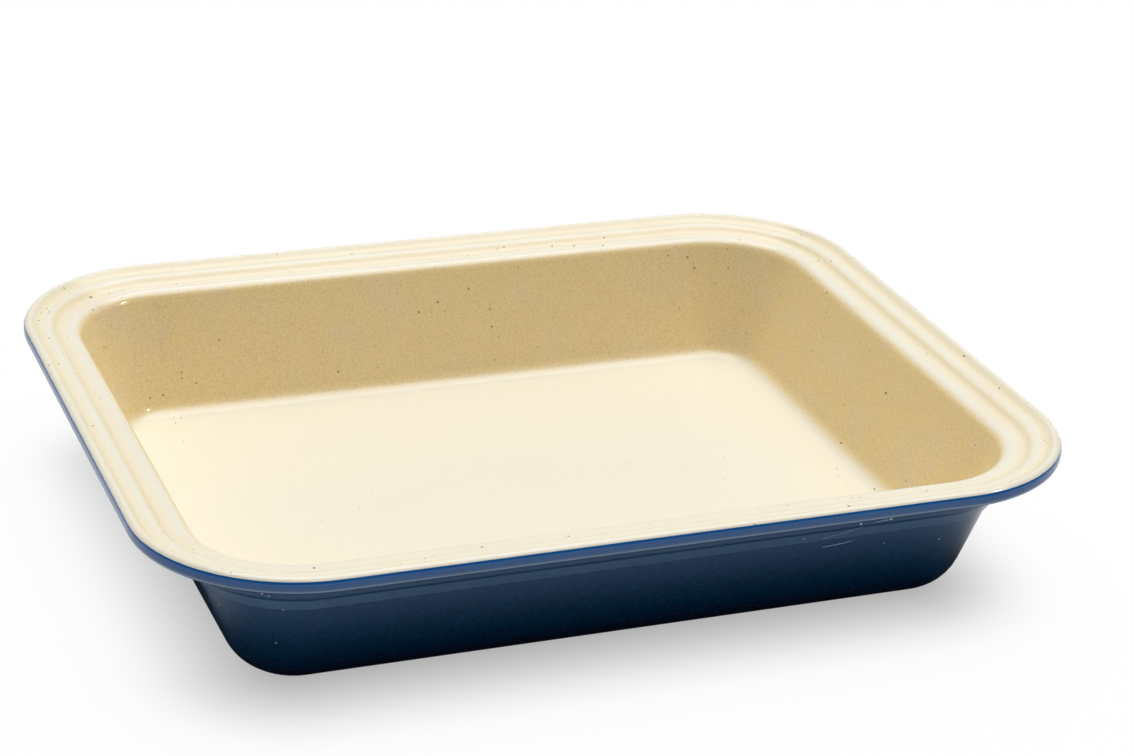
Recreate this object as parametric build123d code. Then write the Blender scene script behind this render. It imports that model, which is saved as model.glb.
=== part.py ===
from build123d import *
from math import atan2, cos, radians, sin, tan
import os

# A rectangular stoneware lasagna dish with a stepped rim of three rings, as its fired clay body
# and its three coats of glaze. Millimetres. The origin is in the middle of the plane that the
# foot ring stands on, X runs along the dish, Y across it and Z up.

# Outline seen from above
length = 370.0
width = 305.0
corner_radius = 62.0
height = 65.5

# Rim, upper face: three rounded rings that step down towards the cavity. Insets are measured
# level from the rim's outermost edge, drops from the rim's top.
edge_radius = 2.5
edge_thickness = 5.7
outer_ring_inset = 3.1
outer_ring_radius = 1.5
outer_cove_inset = 6.2
outer_cove_drop = 2.4
middle_ring_inset = 10.6
middle_ring_drop = 2.0
middle_ring_radius = 4.0
inner_cove_inset = 14.4
inner_cove_drop = 4.9
cove_radius = 5.0
lip_inset = 22.3
lip_drop = 4.4
lip_radius = 5.0

# Rim, lower face: the second and third ring show below the edge as a bead and a slanted collar
under_edge_inset = 16.6
under_edge_drop = 12.8
under_edge_radius = 3.0
bead_inset = 18.6
bead_drop = 17.6
bead_foot_inset = 20.0
bead_foot_drop = 18.1
collar_inset = 24.4
collar_drop = 24.9
collar_foot_inset = 25.8
collar_foot_drop = 25.5
fold_radius = 1.2
step_radius = 0.8

# Walls and floor
wall_foot_inset = 40.4
bottom_radius = 21.0
floor_inset = 41.6
floor_height = 11.5
floor_radius = 8.0

# Foot ring and the recess inside it
foot_width = 6.0
recess_depth = 2.5
recess_corner_radius = 16.0
recess_bevel = 0.8

# Glaze: the cream and the blue coat meet on the rim's rounded edge, at an angle above level. The
# blue coat ends on the bottom's rounded edge, at an angle from straight down. The clay is crisp
# under the glaze wherever the glazed surface has a radius below crisp_below.
glaze = 0.6
glaze_line_angle = 35.0
glaze_end_angle = 16.0
crisp_below = 2.0

overrun = 10.0

# Half the straight stretch of each wall, between the corner axes
half_run_x = length / 2 - corner_radius
half_run_y = width / 2 - corner_radius

# Where the bottom's rounded edge comes down on to the table
wall_turn = atan2(height - collar_foot_drop, wall_foot_inset - collar_foot_inset)
foot_inset = wall_foot_inset + bottom_radius * tan(wall_turn / 2)


def at(inset, drop):
    """A point of the section. Its x is zero on the corner axis, one corner radius in."""
    return (inset - corner_radius, height - drop)


upper_face = [
    (at(0, 0), edge_radius),
    (at(outer_ring_inset, 0), outer_ring_radius),
    (at(outer_cove_inset, outer_cove_drop), cove_radius),
    (at(middle_ring_inset, middle_ring_drop), middle_ring_radius),
    (at(inner_cove_inset, inner_cove_drop), cove_radius),
    (at(lip_inset, lip_drop), lip_radius),
    (at(floor_inset, height - floor_height), floor_radius),
    ((overrun, floor_height), 0),
]
lower_face = [
    ((overrun, 0), 0),
    (at(wall_foot_inset, height), bottom_radius),
    (at(collar_foot_inset, collar_foot_drop), step_radius),
    (at(collar_inset, collar_drop), fold_radius),
    (at(bead_foot_inset, bead_foot_drop), step_radius),
    (at(bead_inset, bead_drop), fold_radius),
    (at(under_edge_inset, under_edge_drop), under_edge_radius),
    (at(0, edge_thickness), edge_radius),
]


def rounded(corners, smallest=0):
    """A shape with these corners and their radii. Corners below the smallest radius are sharp."""
    points = [point for point, _ in corners]
    radii = [radius if radius >= smallest else 0 for _, radius in corners]
    return make_face(FilletPolyline(*points, radius=radii, close=True))


def under_glaze(corners):
    """What is left of a shape with these corners inside its coat of glaze."""
    return offset(rounded(corners, smallest=crisp_below), -glaze, kind=Kind.INTERSECTION)


def glaze_line():
    """The line between the two coats, from the centre of the edge's rounding to a point outside."""
    angle = radians(glaze_line_angle)
    reach = edge_radius + overrun
    centre = at(edge_radius, edge_radius)
    return centre, (centre[0] - reach * cos(angle), centre[1] + reach * sin(angle))


def above_glaze_line():
    """Everything above the glaze line and above the centre of the edge's rounding."""
    centre, tip = glaze_line()
    far_side = [(tip[0], height + overrun), (overrun, height + overrun), (overrun, centre[1])]
    return make_face(Polyline(centre, tip, *far_side, close=True))


def below_glaze_line():
    """The rim's edge below the glaze line."""
    centre, tip = glaze_line()
    far_side = [(tip[0], -overrun), (centre[0], -overrun)]
    return make_face(Polyline(centre, tip, *far_side, close=True))


def bare_foot():
    """Everything inward of the blue coat's end, from the bottom's rounded edge to the axis."""
    angle = radians(glaze_end_angle)
    reach = bottom_radius + overrun
    centre = at(foot_inset, height - bottom_radius)
    tip = (centre[0] - reach * sin(angle), centre[1] - reach * cos(angle))
    far_side = [(overrun, tip[1]), (overrun, centre[1])]
    return make_face(Polyline(centre, tip, *far_side, close=True))


def sections():
    """The section's clay, its cream coat and its blue coat, as far in as the corner axis."""
    form = rounded(upper_face + lower_face)
    below_upper_face = upper_face + [((overrun, -overrun), 0), (at(0, height + overrun), 0)]
    above_lower_face = lower_face + [(at(0, 0), edge_radius), ((overrun, height), 0)]
    cream = form - under_glaze(below_upper_face) - below_glaze_line()
    blue = form - under_glaze(above_lower_face) - above_glaze_line() - bare_foot()
    clay = form - cream - blue
    reach = corner_radius + overrun
    up_to_axis = Pos(-reach / 2, height / 2) * Rectangle(reach, height + 2 * overrun)
    return clay & up_to_axis, cream & up_to_axis, blue & up_to_axis


def carried_round(section):
    """The section taken once round the dish, as straight walls and quarter turns."""
    wall_end = Plane.XZ * section
    quarter = revolve(wall_end, Axis.Z, 90)
    end_wall = extrude(wall_end, 2 * half_run_y, dir=(0, 1, 0))
    side_wall = extrude(Rot(0, 0, 90) * wall_end, 2 * half_run_x, dir=(1, 0, 0))
    near_corner = Pos(-half_run_x, -half_run_y)
    far_corner = Pos(half_run_x, -half_run_y)
    half = [
        near_corner * end_wall,
        near_corner * quarter,
        near_corner * side_wall,
        far_corner * (Rot(0, 0, 90) * quarter),
    ]
    other_half = [Rot(0, 0, 180) * piece for piece in half]
    return half[0].fuse(*half[1:], *other_half)


def middle_slab(low, high):
    """The level middle of the dish, inside the four corner axes."""
    standing = (Align.CENTER, Align.CENTER, Align.MIN)
    return Pos(0, 0, low) * Box(2 * half_run_x, 2 * half_run_y, high - low, align=standing)


def recess_outline():
    """The inside of the foot ring, seen from below."""
    inset = foot_inset + foot_width
    return RectangleRounded(length - 2 * inset, width - 2 * inset, recess_corner_radius)


def recess(low, high):
    """The space inside the foot ring, between two heights."""
    return Pos(0, 0, low) * extrude(recess_outline(), high - low)


def stoneware_body(clay):
    """The clay casting, with its foot ring left bare and bevelled on the inside."""
    casting = carried_round(clay) + middle_slab(0, floor_height - glaze)
    bevel = extrude(offset(recess_outline(), recess_bevel), recess_bevel, taper=45)
    return casting - recess(0, recess_depth + glaze) - bevel


def interior_glaze(cream):
    """The cream coat on the rim's top, the inside walls and the floor."""
    return carried_round(cream) + middle_slab(floor_height - glaze, floor_height)


def exterior_glaze(blue):
    """The blue coat on the rim's edge and underside, the collar and the outer walls."""
    return carried_round(blue)


def underside_glaze():
    """The blue panel inside the foot ring."""
    return recess(recess_depth, recess_depth + glaze)


clay_section, cream_section, blue_section = sections()
nodes = {
    "stoneware_body": stoneware_body(clay_section),
    "interior_glaze": interior_glaze(cream_section),
    "exterior_glaze": exterior_glaze(blue_section),
    "underside_glaze": underside_glaze(),
}

os.makedirs("parts", exist_ok=True)
for name, solid in nodes.items():
    export_step(solid, f"parts/{name}.step")
    print(name, round(solid.volume / 1000, 1), "cm3", len(solid.solids()), "solid")
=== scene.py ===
from math import cos, radians, sin

import bpy
from mathutils import Matrix, Vector
from mathutils.bvhtree import BVHTree


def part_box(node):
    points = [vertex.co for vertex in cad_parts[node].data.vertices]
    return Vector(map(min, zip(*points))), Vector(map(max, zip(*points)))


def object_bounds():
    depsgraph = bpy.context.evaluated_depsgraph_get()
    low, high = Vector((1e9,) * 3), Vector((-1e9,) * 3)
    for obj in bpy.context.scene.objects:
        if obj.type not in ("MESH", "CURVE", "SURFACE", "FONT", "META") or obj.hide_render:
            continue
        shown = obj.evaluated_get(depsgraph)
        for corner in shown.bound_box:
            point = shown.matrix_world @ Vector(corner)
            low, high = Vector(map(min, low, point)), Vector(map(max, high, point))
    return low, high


# The looks of a glazed stoneware lasagna dish. Metres, in the frame of the CAD model.

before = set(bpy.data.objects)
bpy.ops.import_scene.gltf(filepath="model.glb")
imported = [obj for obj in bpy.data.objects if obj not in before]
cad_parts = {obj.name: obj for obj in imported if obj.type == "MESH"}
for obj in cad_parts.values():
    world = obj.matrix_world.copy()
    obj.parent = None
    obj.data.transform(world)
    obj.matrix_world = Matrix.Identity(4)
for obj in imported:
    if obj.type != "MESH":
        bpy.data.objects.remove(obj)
cad_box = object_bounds()

mm = 0.001
rim_top = cad_box[1][2]

# Camera: the bearing, height and roll of its line of sight, and its place on that line, from
# where the photograph has the outlines of the rim, the mouth, the floor and the base.
camera_azimuth = radians(-21.51)
camera_elevation = radians(23.64)
camera_roll = radians(2.60)
camera_distance = 1.2529
camera_right = 0.0183
camera_up = 0.0567
sensor_width = 36.0
image_width = 1134
image_height = 756
focal_pixels = 3046.3
camera_reach = 20.0

# Lamps: bearings from the back towards the right, and heights above level
key_azimuth = radians(48)
key_elevation = radians(79)
key_distance = 2.5
key_size = 2.6
key_power = 74
glint_azimuth = radians(122)
glint_elevation = radians(40)
glint_distance = 1.2
glint_size = 0.04
glint_power = 2.0

# The room: its light from all sides, the brighter light of the backdrop, and where the one turns
# into the other, from 0 beside the table to 1 straight behind it
world_light = 0.09
backdrop_light = 0.45
backdrop_turn = (0.25, 0.65)

# Table: half its size, and how far it is lifted to white at the dish's foot and away from it. The
# shades are the distances from the foot between which it gets brighter, as it is seen and as the
# glaze mirrors it. What the glaze mirrors near the foot is painted dark, a painted shadow
table_half = 6.0
table_roughness = 0.9
lift_at_foot = 0.40
lift_away = 0.95
seen_shade = (0.0, 0.07)
mirrored_lift = 0.75
mirrored_shade = (0.032, 0.077)

# Colours, linear
white = (1.0, 1.0, 1.0)
table_colour = (0.92, 0.92, 0.92)
cream_thick = (0.895, 0.847, 0.700)
cream_thin_and_shaded = (0.96, 0.77, 0.415)
cream_blush = (0.93, 0.78, 0.58)
cream_grain = (0.66, 0.44, 0.19)
iron_brown = (0.10, 0.050, 0.022)
blue_deep = (0.001, 0.029, 0.076)
blue_middle = (0.002, 0.046, 0.117)
blue_thin_and_lit = (0.003, 0.110, 0.370)
blue_collar_reflection = (0.080, 0.146, 0.250)
blue_edge = (0.004, 0.044, 0.145)
blue_edge_reflection = (0.065, 0.145, 0.275)
blue_ridge_highlight = (0.270, 0.430, 0.610)
blue_foot_shade = (0.0005, 0.012, 0.055)
blue_dust = (0.100, 0.170, 0.270)
chip_pale = (0.50, 0.58, 0.66)
chip_brown = (0.055, 0.042, 0.030)
clay_light = (0.68, 0.58, 0.46)
clay_dark = (0.50, 0.41, 0.31)

# What follows describes the glazes and the clay. A pair of values is where a smooth step starts
# and ends, and a share is how much of a colour is mixed in. Noise lies mostly in noise_reach.
noise_reach = (0.3, 0.7)

# The rim's corner radius, and the insets from its outermost edge of its two grooves, where the
# cream glaze is painted tan, a painted shade
corner_radius = 62 * mm
rim_grooves = [(3.6 * mm, 7.8 * mm), (12.0 * mm, 16.6 * mm)]
groove_blur = 1.3 * mm
groove_shade_share = 0.30

# Cream glaze: pale where the surface faces up, in broad patches, and below the rim's top. The tan
# walls that face away from the light are partly thin glaze and partly painted shade, and the pale
# band below the rim's top is a painted highlight
patch_size = 60 * mm
patch_share = 0.12
depth_and_shade_slope = (0.50, 1.00)
highlight_edge_drops = (2.2 * mm, 1.0 * mm)

# Its blushes and its grain, both weaker on the floor
blush_size = 23 * mm
blush_noise = (0.50, 0.70)
blush_share = 0.35
floor_rise = (12 * mm, 20 * mm)
floor_blush = 0.25
grain_size = 0.8 * mm
grain_noise = (0.40, 0.68)
grain_share = 0.32
grain_slope = (0.95, 0.60)
floor_grain = 0.12

# How crowded its specks are: in patches, on the floor and in the grooves
crowd_size = 28 * mm
crowd_noise = (0.40, 0.62)
crowd_least = 0.45
floor_crowd = 0.6
groove_crowd = 0.9

# Specks at random: spacing, largest radius, the share of places that have one, and their strength
cream_speckles = [
    (3.0 * mm, 0.70 * mm, 0.50, 0.55),
    (11.0 * mm, 0.85 * mm, 0.40, 0.85),
]
blue_speckles = [(2.2 * mm, 0.16 * mm, 0.35, 0.45)]
clay_speckles = [(2.5 * mm, 0.25 * mm, 0.4, 0.7)]
speck_blur = 0.3

# Heights between which the blue glaze is darker down at the foot, a painted shade, and brighter
# up the wall, a painted light
mottle_size = 1.5 * mm
foot_shade_heights = (20 * mm, 5 * mm)
foot_shade_share = 0.85
lit_wall_heights = (18 * mm, 40 * mm)
lit_wall_share = 0.15

# Heights of the slanted collar, of the rim's edge, up to its middle, and of the ridges between
# them. The collar and the edge's lower half are pale, a painted reflection, and the ridges are
# painted highlight lines. Above its middle the edge is bright, where its slope turns from down to
# up: partly thin glaze, partly painted light.
collar_foot = 40.8 * mm
collar_top = 46.2 * mm
collar_blur = 0.4 * mm
edge_foot = 60.5 * mm
edge_middle = 62.4 * mm
edge_blur = 1.0 * mm
edge_slope = (-0.10, 0.06)
ridge_highlights = [40.4 * mm, 47.8 * mm, 60.4 * mm]
ridge_half = 0.15 * mm
ridge_blur = 0.25 * mm
ridge_highlight_share = 0.6

# Gloss: size and detail of its noise, and the least and most roughness
cream_gloss = (12 * mm, 2.0, 0.13, 0.20)
blue_gloss = (6 * mm, 3.0, 0.10, 0.18)
clay_roughness = 0.85

# Unevenness: size and detail of its noise, and its depth
cream_waves = (11 * mm, 1.5, 0.12 * mm)
blue_waves = (9 * mm, 1.0, 0.04 * mm)
clay_grit = (0.5 * mm, 4.0, 0.15 * mm)
clay_grain_size = 0.8 * mm

# Marks have ragged edges: the size of the raggedness, and how far it reaches. The shares of a
# mark's width at which it starts to show, and shows in full.
ragged_size = 0.7 * mm
ragged_reach = 0.9 * mm
spot_shares = (0.5, 0.3)
stroke_shares = (0.7, 0.2)

# Marks that show in the photograph: pixel of their middle, and width
cream_specks = [
    ((574, 246), 1.5 * mm),
    ((552, 246), 0.95 * mm),
    ((849, 506), 1.5 * mm),
    ((964, 356), 1.2 * mm),
    ((886, 393), 1.3 * mm),
    ((91, 297), 1.2 * mm),
    ((314, 568), 1.2 * mm),
    ((181, 418), 0.95 * mm),
    ((49, 312), 0.95 * mm),
    ((49, 338), 0.95 * mm),
    ((70, 360), 1.1 * mm),
    ((59, 364), 0.95 * mm),
    ((874, 489), 1.2 * mm),
    ((841, 443), 1.2 * mm),
    ((837, 469), 0.9 * mm),
    ((176, 423), 0.9 * mm),
    ((93, 426), 1.1 * mm),
    ((104, 347), 0.8 * mm),
    ((64, 288), 0.8 * mm),
    ((123, 290), 0.8 * mm),
    ((93, 310), 0.8 * mm),
    ((182, 378), 0.9 * mm),
    ((150, 398), 0.8 * mm),
]
blue_chips = [
    ((262, 594), 0.9 * mm),
    ((269, 596), 0.6 * mm),
    ((283, 610), 1.1 * mm),
    ((804, 539), 1.1 * mm),
    ((861, 524), 1.2 * mm),
    ((891, 519), 1.4 * mm),
    ((884, 543), 0.7 * mm),
    ((939, 539), 0.8 * mm),
    ((219, 605), 0.8 * mm),
    ((276, 643), 0.7 * mm),
]
edge_wear = [
    ((450, 567), 1.0 * mm),
    ((462, 571), 1.3 * mm),
    ((441, 573), 0.8 * mm),
]
long_scratch = [(823, 539), (832, 536), (841, 534), (850, 531), (860, 528), (877, 522), (893, 519)]
short_scratch = [(823, 547), (840, 544), (851, 541)]
scratch_width = 0.36 * mm
scratch_share = 0.8


def from_bearing(azimuth, elevation, distance):
    """A point in a direction from the origin."""
    level = distance * cos(elevation)
    return Vector((level * sin(azimuth), level * cos(azimuth), distance * sin(elevation)))


def camera_axes():
    """The camera's right, up and backward directions."""
    back = Vector((
        sin(camera_azimuth) * cos(camera_elevation),
        -cos(camera_azimuth) * cos(camera_elevation),
        sin(camera_elevation),
    ))
    level = Vector((cos(camera_azimuth), sin(camera_azimuth), 0))
    upright = back.cross(level)
    right = level * cos(camera_roll) + upright * sin(camera_roll)
    up = upright * cos(camera_roll) - level * sin(camera_roll)
    return right, up, back


def camera_place():
    """Where the camera stands."""
    right, up, back = camera_axes()
    return back * camera_distance + right * camera_right + up * camera_up


def add_camera():
    data = bpy.data.cameras.new("camera")
    data.sensor_width = sensor_width
    data.lens = sensor_width * focal_pixels / image_width
    data.clip_end = camera_reach
    camera = bpy.data.objects.new("camera", data)
    turn = Matrix(camera_axes()).transposed()
    camera.matrix_world = Matrix.Translation(camera_place()) @ turn.to_4x4()
    bpy.context.scene.collection.objects.link(camera)
    bpy.context.scene.camera = camera


def surface_at(tree, pixel):
    """The place on a node's surface that the photograph shows at a pixel."""
    right, up, back = camera_axes()
    across = (pixel[0] - image_width / 2) / focal_pixels
    upward = (image_height / 2 - pixel[1]) / focal_pixels
    sight = right * across + up * upward - back
    return tree.ray_cast(camera_place(), sight.normalized())[0]


def add_lamp(name, place, size, power, lights_up=True):
    """A square light that faces the dish. It lights the dish up, or only shows in its gloss."""
    data = bpy.data.lights.new(name, "AREA")
    data.shape = "SQUARE"
    data.size = size
    data.energy = power
    lamp = bpy.data.objects.new(name, data)
    lamp.location = place
    lamp.rotation_euler = (-place).to_track_quat("-Z", "Y").to_euler()
    lamp.visible_diffuse = lights_up
    bpy.context.scene.collection.objects.link(lamp)


class Graph:
    """The nodes of a material or the world, with a short way to add each kind."""

    def __init__(self, owner):
        owner.use_nodes = True
        self.nodes = owner.node_tree.nodes
        self.links = owner.node_tree.links
        self.coordinates = self.nodes.new("ShaderNodeTexCoord").outputs

    def feed(self, socket, value):
        """Link a socket, or set it."""
        if isinstance(value, bpy.types.NodeSocket):
            self.links.new(value, socket)
        elif isinstance(value, tuple) and socket.type == "RGBA":
            socket.default_value = (*value, 1)
        else:
            socket.default_value = value

    def separate(self, vector, axis):
        node = self.nodes.new("ShaderNodeSeparateXYZ")
        self.feed(node.inputs[0], vector)
        return node.outputs[axis]

    def math(self, operation, first, second=0.0):
        node = self.nodes.new("ShaderNodeMath")
        node.operation = operation
        self.feed(node.inputs[0], first)
        self.feed(node.inputs[1], second)
        return node.outputs[0]

    def vector(self, operation, first, second, result="Vector"):
        node = self.nodes.new("ShaderNodeVectorMath")
        node.operation = operation
        self.feed(node.inputs[0], first)
        name = "Scale" if operation == "SCALE" else 1
        self.feed(node.inputs[name], second)
        return node.outputs[result]

    def ramp(self, value, low, high, to_low=0.0, to_high=1.0):
        """A smooth step from one value to another."""
        node = self.nodes.new("ShaderNodeMapRange")
        node.interpolation_type = "SMOOTHSTEP"
        for name, number in (
            ("Value", value),
            ("From Min", low),
            ("From Max", high),
            ("To Min", to_low),
            ("To Max", to_high),
        ):
            self.feed(node.inputs[name], number)
        return node.outputs["Result"]

    def mix(self, factor, first, second):
        node = self.nodes.new("ShaderNodeMix")
        node.data_type = "RGBA"
        self.feed(node.inputs[0], factor)
        self.feed(node.inputs[6], first)
        self.feed(node.inputs[7], second)
        return node.outputs[2]

    def light_path(self):
        return self.nodes.new("ShaderNodeLightPath").outputs


class Surface(Graph):
    """A material, with noise, masks and marks by the place on the surface."""

    def __init__(self, name):
        self.material = bpy.data.materials.new(name)
        super().__init__(self.material)
        self.shader = self.nodes["Principled BSDF"]
        self.place = self.coordinates["Object"]
        self.height = self.separate(self.place, "Z")
        self.upward = self.separate(self.coordinates["Normal"], "Z")

    def noise(self, wavelength, detail=2.0):
        """Noise with features of this size."""
        node = self.nodes.new("ShaderNodeTexNoise")
        self.feed(node.inputs["Vector"], self.place)
        node.inputs["Scale"].default_value = 1 / wavelength
        node.inputs["Detail"].default_value = detail
        return node.outputs["Fac"]

    def specks(self, spacing, largest, share, crowding):
        """Round specks at random, up to a largest radius. A share of the cells have one."""
        node = self.nodes.new("ShaderNodeTexVoronoi")
        self.feed(node.inputs["Vector"], self.place)
        node.inputs["Scale"].default_value = 1 / spacing
        chance = self.separate(node.outputs["Color"], "X")
        radius = self.ramp(chance, 1 - share, 1.0, -largest / spacing, largest / spacing)
        radius = self.math("MULTIPLY", radius, crowding)
        inside = self.math("SUBTRACT", radius, node.outputs["Distance"])
        return self.ramp(inside, 0.0, speck_blur * largest / spacing)

    def speckled(self, colour, speckles, speck_colour, crowding=1.0):
        """A colour with specks of another at random."""
        for spacing, largest, share, strength in speckles:
            specks = self.specks(spacing, largest, share, crowding)
            colour = self.mix(self.math("MULTIPLY", specks, strength), colour, speck_colour)
        return colour

    def beyond(self, half_length, half_width):
        """How far a place is outside a rectangle round the origin, seen from above."""
        nothing = (0.0, 0.0, 0.0)
        folded = self.vector("ABSOLUTE", self.place, nothing)
        past = self.vector("SUBTRACT", folded, (half_length, half_width, 0.0))
        outside = self.vector("MAXIMUM", past, nothing)
        level = self.vector("MULTIPLY", outside, (1.0, 1.0, 0.0))
        return self.vector("LENGTH", level, nothing, "Value")

    def inset(self):
        """How far in from the rim's outermost edge a place is, seen from above."""
        half_length, half_width = cad_box[1][:2]
        reach = self.beyond(half_length - corner_radius, half_width - corner_radius)
        return self.math("SUBTRACT", corner_radius, reach)

    def band(self, value, low, high, blur):
        """One between two limits, and nothing below and above."""
        rising = self.ramp(value, low - blur, low + blur)
        return self.math("MULTIPLY", rising, self.ramp(value, high + blur, high - blur))

    def ragged_place(self):
        """The place on the surface, moved a little at random, so that marks have rough edges."""
        node = self.nodes.new("ShaderNodeTexNoise")
        self.feed(node.inputs["Vector"], self.place)
        node.inputs["Scale"].default_value = 1 / ragged_size
        centred = self.vector("SUBTRACT", node.outputs["Color"], (0.5, 0.5, 0.5))
        shift = self.vector("SCALE", centred, ragged_reach)
        return self.vector("ADD", self.place, shift)

    def spot(self, place, centre, width):
        """A soft-edged round mark."""
        distance = self.vector("DISTANCE", place, centre, "Value")
        return self.ramp(distance, *(share * width for share in spot_shares))

    def spots(self, place, tree, marks):
        """Round marks where the photograph has them."""
        return self.any_of([self.spot(place, surface_at(tree, at), width) for at, width in marks])

    def stroke(self, place, start, end, width):
        """A soft-edged straight mark."""
        run = end - start
        from_start = self.vector("SUBTRACT", place, start)
        along = self.vector("DOT_PRODUCT", from_start, run / run.length_squared, "Value")
        along = self.math("MINIMUM", self.math("MAXIMUM", along, 0.0), 1.0)
        on_run = self.vector("SCALE", run, along)
        distance = self.vector("DISTANCE", from_start, on_run, "Value")
        return self.ramp(distance, *(share * width for share in stroke_shares))

    def any_of(self, masks):
        mask = masks[0]
        for other in masks[1:]:
            mask = self.math("MAXIMUM", mask, other)
        return mask

    def vary_gloss(self, gloss):
        """A gloss that varies a little over the surface."""
        size, detail, least, most = gloss
        roughness = self.ramp(self.noise(size, detail), *noise_reach, least, most)
        self.feed(self.shader.inputs["Roughness"], roughness)

    def uneven(self, waves):
        """A surface that isn't quite smooth."""
        size, detail, depth = waves
        node = self.nodes.new("ShaderNodeBump")
        node.inputs["Distance"].default_value = depth
        self.feed(node.inputs["Height"], self.noise(size, detail))
        self.feed(self.shader.inputs["Normal"], node.outputs["Normal"])


def node_tree_of(name):
    """A CAD node's surface, ready to be looked up."""
    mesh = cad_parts[name].data
    points = [vertex.co for vertex in mesh.vertices]
    faces = [tuple(face.vertices) for face in mesh.polygons]
    return BVHTree.FromPolygons(points, faces)


def cream_depth_and_shade(graph):
    """How thick the cream glaze is painted: most where it faces up and at the rim's edge. Less on
    the walls is partly painted shade; the rim's edge is a painted highlight.
    """
    patches = graph.math("SUBTRACT", graph.noise(patch_size, detail=3.0), 0.5)
    depth_and_shade = graph.math("ADD", graph.upward, graph.math("MULTIPLY", patches, patch_share))
    # Painted highlight: the glaze is kept pale just below the rim's top
    edge = graph.ramp(graph.height, *(rim_top - drop for drop in highlight_edge_drops))
    return graph.math("MAXIMUM", depth_and_shade, edge)


def cream_glaze():
    """Glossy cream glaze: pale where it pools, tan where it runs thin, with iron specks. The tan
    on the walls is partly painted shade, and in the rim's grooves it is painted shade.
    """
    graph = Surface("cream_glaze")
    depth_and_shade = cream_depth_and_shade(graph)
    above_floor = graph.ramp(graph.height, *floor_rise)
    inset = graph.inset()
    grooves = [graph.band(inset, low, high, groove_blur) for low, high in rim_grooves]
    grooves = graph.any_of(grooves)
    # Partly painted shade: walls that face away from the light get the tan of thin glaze
    colour = graph.mix(graph.ramp(depth_and_shade, *depth_and_shade_slope), cream_thin_and_shaded, cream_thick)
    # Painted shade: the rim's grooves are tinted tan
    colour = graph.mix(graph.math("MULTIPLY", grooves, groove_shade_share), colour, cream_thin_and_shaded)
    blush = graph.ramp(graph.noise(blush_size), *blush_noise, 0.0, blush_share)
    blush = graph.math("MULTIPLY", blush, graph.math("MAXIMUM", above_floor, floor_blush))
    colour = graph.mix(blush, colour, cream_blush)
    grain = graph.ramp(graph.noise(grain_size, detail=3.0), *grain_noise, 0.0, grain_share)
    grain = graph.math("MULTIPLY", grain, graph.ramp(depth_and_shade, *grain_slope, floor_grain, 1.0))
    colour = graph.mix(grain, colour, cream_grain)
    crowding = graph.ramp(graph.noise(crowd_size, detail=1.0), *crowd_noise, crowd_least, 1.0)
    crowding = graph.math("MULTIPLY", crowding, graph.math("MAXIMUM", above_floor, floor_crowd))
    crowding = graph.math("MAXIMUM", crowding, graph.math("MULTIPLY", grooves, groove_crowd))
    colour = graph.speckled(colour, cream_speckles, iron_brown, crowding)
    tree = node_tree_of("interior_glaze")
    spots = graph.spots(graph.ragged_place(), tree, cream_specks)
    graph.feed(graph.shader.inputs["Base Color"], graph.mix(spots, colour, iron_brown))
    graph.vary_gloss(cream_gloss)
    graph.uneven(cream_waves)
    return graph.material


def marked_blue(graph, colour):
    """The chips, the scratches and the worn edge that the photograph shows."""
    tree = node_tree_of("exterior_glaze")
    place = graph.ragged_place()
    strokes = []
    for scratch in (long_scratch, short_scratch):
        points = [surface_at(tree, pixel) for pixel in scratch]
        for start, end in zip(points, points[1:]):
            strokes.append(graph.stroke(place, start, end, scratch_width))
    scratched = graph.math("MULTIPLY", graph.any_of(strokes), scratch_share)
    colour = graph.mix(scratched, colour, chip_pale)
    colour = graph.mix(graph.spots(place, tree, blue_chips), colour, chip_pale)
    return graph.mix(graph.spots(place, tree, edge_wear), colour, chip_brown)


def blue_mottle_and_shade(graph, outside):
    """Mottled dark blue glaze, darker toward the foot, a painted shade, and brighter up the wall,
    a painted light.
    """
    mottling = graph.ramp(graph.noise(mottle_size, detail=4.0), *noise_reach)
    colour = graph.mix(mottling, blue_deep, blue_middle)
    if outside:
        # Painted shade: darker toward the foot
        depth_and_shade = graph.ramp(graph.height, *foot_shade_heights, 0.0, foot_shade_share)
        colour = graph.mix(depth_and_shade, colour, blue_foot_shade)
    # Painted light: brighter up the wall
    return graph.mix(graph.ramp(graph.height, *lit_wall_heights, 0.0, lit_wall_share), colour, blue_thin_and_lit)


def blue_glaze(name, outside):
    """Glossy blue glaze: pale on the collar and the edge's lower half, a painted reflection, with
    painted highlight lines on the ridges, and bright on the edge's top, partly painted light.
    """
    graph = Surface(name)
    collar = graph.band(graph.height, collar_foot, collar_top, collar_blur)
    # Painted reflection: the collar is pale
    colour = graph.mix(collar, blue_mottle_and_shade(graph, outside), blue_collar_reflection)
    # Painted reflection: the edge's lower half is pale
    edge = graph.ramp(graph.height, edge_foot - edge_blur, edge_foot)
    rise = graph.ramp(graph.height, edge_foot, edge_middle)
    colour = graph.mix(edge, colour, graph.mix(rise, blue_edge_reflection, blue_edge))
    # Painted highlights: pale lines along the ridges
    for ridge in ridge_highlights:
        line = graph.band(graph.height, ridge - ridge_half, ridge + ridge_half, ridge_blur)
        colour = graph.mix(graph.math("MULTIPLY", line, ridge_highlight_share), colour, blue_ridge_highlight)
    # Partly painted light: the edge's top, which faces up, is brighter, and partly thin glaze
    colour = graph.mix(graph.ramp(graph.upward, *edge_slope), colour, blue_thin_and_lit)
    colour = graph.speckled(colour, blue_speckles, blue_dust)
    if outside:
        colour = marked_blue(graph, colour)
    graph.feed(graph.shader.inputs["Base Color"], colour)
    graph.vary_gloss(blue_gloss)
    graph.uneven(blue_waves)
    return graph.material


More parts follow.
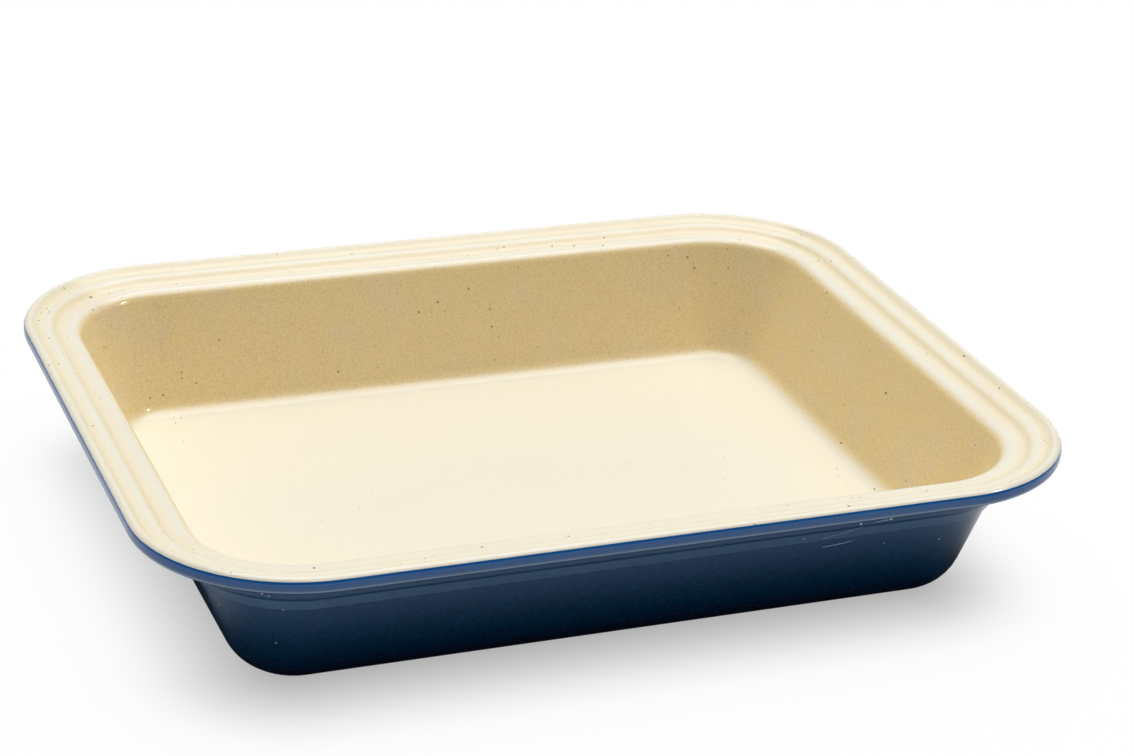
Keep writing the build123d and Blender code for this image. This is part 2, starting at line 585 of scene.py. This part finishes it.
def bare_clay():
    """The bare fired foot: buff, gritty and matte."""
    graph = Surface("bare_clay")
    grain = graph.ramp(graph.noise(clay_grain_size, detail=4.0), *noise_reach)
    colour = graph.mix(grain, clay_dark, clay_light)
    colour = graph.speckled(colour, clay_speckles, iron_brown)
    graph.feed(graph.shader.inputs["Base Color"], colour)
    graph.feed(graph.shader.inputs["Roughness"], clay_roughness)
    graph.uneven(clay_grit)
    return graph.material


def table_material():
    """A white table top that keeps a light shadow."""
    graph = Surface("table")
    graph.feed(graph.shader.inputs["Base Color"], table_colour)
    graph.feed(graph.shader.inputs["Roughness"], table_roughness)
    graph.feed(graph.shader.inputs["Specular IOR Level"], 0.0)
    distance = graph.beyond(*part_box("underside_glaze")[1][:2])
    path = graph.light_path()
    seen = graph.ramp(distance, *seen_shade, lift_at_foot, lift_away)
    seen = graph.math("MULTIPLY", path["Is Camera Ray"], seen)
    mirrored = graph.math("MAXIMUM", path["Is Glossy Ray"], path["Is Transmission Ray"])
    mirrored = graph.math("MULTIPLY", mirrored, mirrored_lift)
    glow = graph.nodes.new("ShaderNodeEmission")
    # Painted shadow: what the glaze mirrors is dark near the foot
    shaded = graph.ramp(distance, *mirrored_shade)
    graph.feed(glow.inputs["Strength"], graph.math("MAXIMUM", path["Is Camera Ray"], shaded))
    mix = graph.nodes.new("ShaderNodeMixShader")
    graph.feed(mix.inputs[0], graph.math("MAXIMUM", seen, mirrored))
    graph.feed(mix.inputs[1], graph.shader.outputs[0])
    graph.feed(mix.inputs[2], glow.outputs[0])
    graph.feed(graph.nodes["Material Output"].inputs["Surface"], mix.outputs[0])
    return graph.material


def add_table():
    """A level table top under the dish."""
    mesh = bpy.data.meshes.new("table")
    turns = ((-1, -1), (1, -1), (1, 1), (-1, 1))
    corners = [(table_half * x, table_half * y, 0) for x, y in turns]
    mesh.from_pydata(corners, [], [(0, 1, 2, 3)])
    mesh.materials.append(table_material())
    table = bpy.data.objects.new("table", mesh)
    bpy.context.scene.collection.objects.link(table)


def light_world():
    """A dim room with a brighter backdrop behind the table, all white to the camera."""
    world = bpy.data.worlds.new("studio")
    graph = Graph(world)
    background = graph.nodes["Background"]
    graph.feed(background.inputs["Color"], white)
    behind = graph.separate(graph.coordinates["Generated"], "Y")
    brightness = graph.ramp(behind, *backdrop_turn, world_light, backdrop_light)
    brightness = graph.math("MAXIMUM", graph.light_path()["Is Camera Ray"], brightness)
    graph.feed(background.inputs["Strength"], brightness)
    bpy.context.scene.world = world


add_camera()
add_table()
light_world()
add_lamp("key", from_bearing(key_azimuth, key_elevation, key_distance), key_size, key_power)
glint_place = from_bearing(glint_azimuth, glint_elevation, glint_distance)
add_lamp("glint", glint_place, glint_size, glint_power, lights_up=False)

looks = {
    "stoneware_body": bare_clay(),
    "interior_glaze": cream_glaze(),
    "exterior_glaze": blue_glaze("blue_glaze", outside=True),
    "underside_glaze": blue_glaze("blue_glaze_underside", outside=False),
}
for name, material in looks.items():
    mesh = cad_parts[name].data
    mesh.materials.clear()
    mesh.materials.append(material)

bpy.context.scene.view_settings.view_transform = "Standard"
